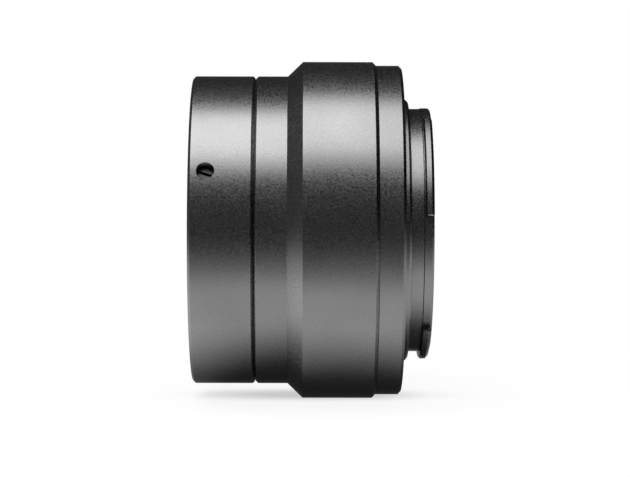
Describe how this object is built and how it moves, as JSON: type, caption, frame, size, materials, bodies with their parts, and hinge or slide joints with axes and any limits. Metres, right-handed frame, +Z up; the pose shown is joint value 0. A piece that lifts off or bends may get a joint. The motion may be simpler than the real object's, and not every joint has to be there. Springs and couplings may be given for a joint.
{
  "type": "t-mount adapter",
  "caption": "Black ring adapter between a T-thread lens or telescope and a camera bayonet: clamped thread ring, stepped tube and lugged flange.",
  "frame": {"origin": "centre of the camera flange face, on the optical axis", "axes": "+X along the optical axis towards the camera, +Z up, -Y towards the side that the picture shows"},
  "size_m": [0.0421, 0.0602, 0.0602],
  "materials": {
    "anodised_body": "bead-blasted, black anodised, satin",
    "anodised_ring": "turned, black anodised, satin",
    "black_steel": "black oxide",
    "bright_steel": "plain stainless",
    "enamel": "filled enamel"
  },
  "bodies": {
    "adapter_body": {"front_sleeve": "anodised_body", "body_tube": "anodised_body", "bayonet_flange": "anodised_body", "flange_screws": "bright_steel", "index_dot": "enamel"},
    "t_ring": {"t_ring": "anodised_ring"},
    "clamp_screw_1": {"clamp_screw_1": "black_steel"},
    "clamp_screw_2": {"clamp_screw_2": "black_steel"},
    "clamp_screw_3": {"clamp_screw_3": "black_steel"}
  },
  "joints": [
    {"name": "t_ring_turn", "type": "hinge", "parent": "adapter_body", "child": "t_ring", "pos_m": [-0.034, 0, 0], "axis": [1, 0, 0], "continuous": true},
    {"name": "clamp_screw_1_travel", "type": "slide", "parent": "adapter_body", "child": "clamp_screw_1", "axis": [0, -0.9078, 0.4195], "range_m": [0, 0.0012]},
    {"name": "clamp_screw_2_travel", "type": "slide", "parent": "adapter_body", "child": "clamp_screw_2", "axis": [0, 0.0906, -0.9959], "range_m": [0, 0.0012]},
    {"name": "clamp_screw_3_travel", "type": "slide", "parent": "adapter_body", "child": "clamp_screw_3", "axis": [0, 0.8171, 0.5764], "range_m": [0, 0.0012]}
  ]
}
